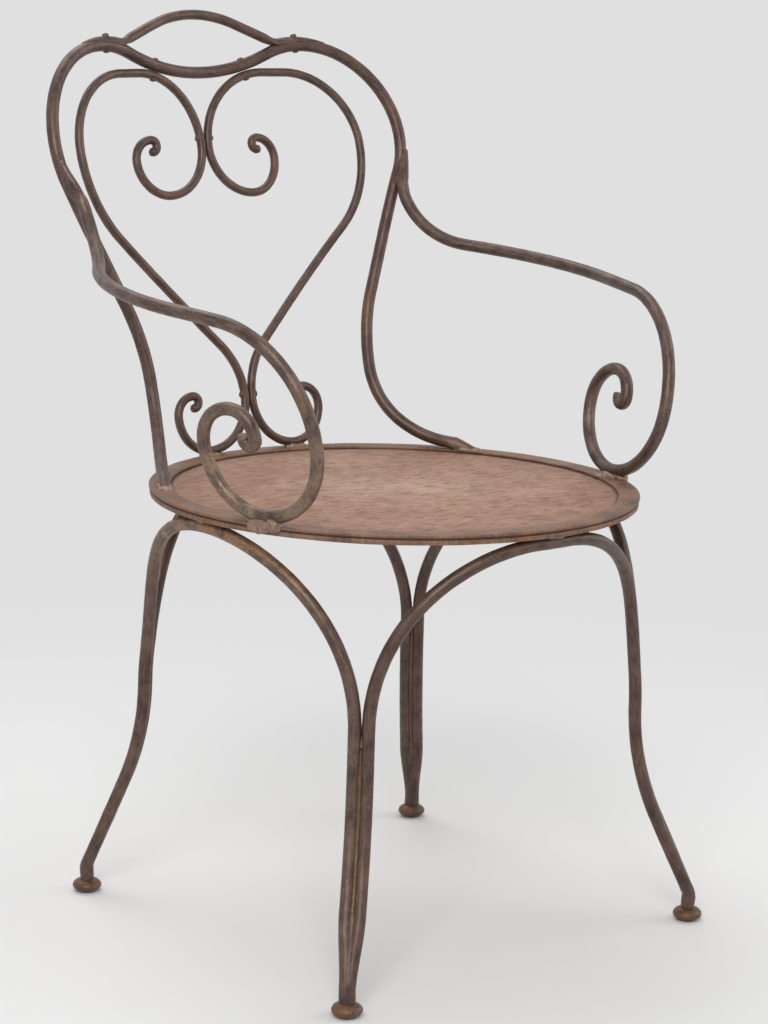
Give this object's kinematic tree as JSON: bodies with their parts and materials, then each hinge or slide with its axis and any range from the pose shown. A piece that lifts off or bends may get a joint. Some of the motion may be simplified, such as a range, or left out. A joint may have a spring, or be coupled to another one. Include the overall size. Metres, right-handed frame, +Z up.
{
  "type": "garden armchair",
  "caption": "Garden armchair of bent iron bar with a round sheet seat, a hoop back with heart scrolls, looped arms and arched legs on bun feet.",
  "frame": {"origin": "on the floor, under the middle of the chair's bounding box", "axes": "+X to the sitter's left hand, +Y to the rear, +Z up; the chair faces -Y"},
  "size_m": [0.592, 0.612, 0.9104],
  "materials": {
    "frame_iron": "dark brown bent bar, worn satin with light rust",
    "seat_iron": "thin brown rust with fine streaks and scratches",
    "foot_iron": "rusty brown, rubbed",
    "braze": "dull golden filler",
    "weld": "grey-tan weld bead"
  },
  "bodies": {
    "root": {"arch_weld_front": "weld", "arch_weld_left": "weld", "arch_weld_rear": "weld", "arch_weld_right": "weld", "arm_left": "frame_iron", "arm_right": "frame_iron", "arm_weld_left": "weld", "arm_weld_right": "weld", "back_hoop": "frame_iron", "crest_bar": "frame_iron", "crest_rivet_left": "frame_iron", "crest_rivet_right": "frame_iron", "crown_rivet_left": "frame_iron", "crown_rivet_right": "frame_iron", "foot_front_left": "foot_iron", "foot_front_right": "foot_iron", "foot_rear_left": "foot_iron", "foot_rear_right": "foot_iron", "heart_scroll_left": "frame_iron", "heart_scroll_right": "frame_iron", "heart_weld_left": "weld", "heart_weld_right": "weld", "leg_ankle_front_left": "frame_iron", "leg_ankle_front_right": "frame_iron", "leg_ankle_rear_left": "frame_iron", "leg_ankle_rear_right": "frame_iron", "leg_arch_front": "frame_iron", "leg_arch_left": "frame_iron", "leg_arch_rear": "frame_iron", "leg_arch_right": "frame_iron", "leg_braze_inner_front_left": "braze", "leg_braze_inner_front_right": "braze", "leg_braze_inner_rear_left": "braze", "leg_braze_inner_rear_right": "braze", "leg_braze_outer_front_left": "braze", "leg_braze_outer_front_right": "braze", "leg_braze_outer_rear_left": "braze", "leg_braze_outer_rear_right": "braze", "neck_rivet_lower": "frame_iron", "neck_rivet_upper": "frame_iron", "post_weld_left": "weld", "post_weld_right": "weld", "seat_band": "seat_iron", "seat_panel": "seat_iron", "seat_ring": "seat_iron"}
  },
  "joints": []
}
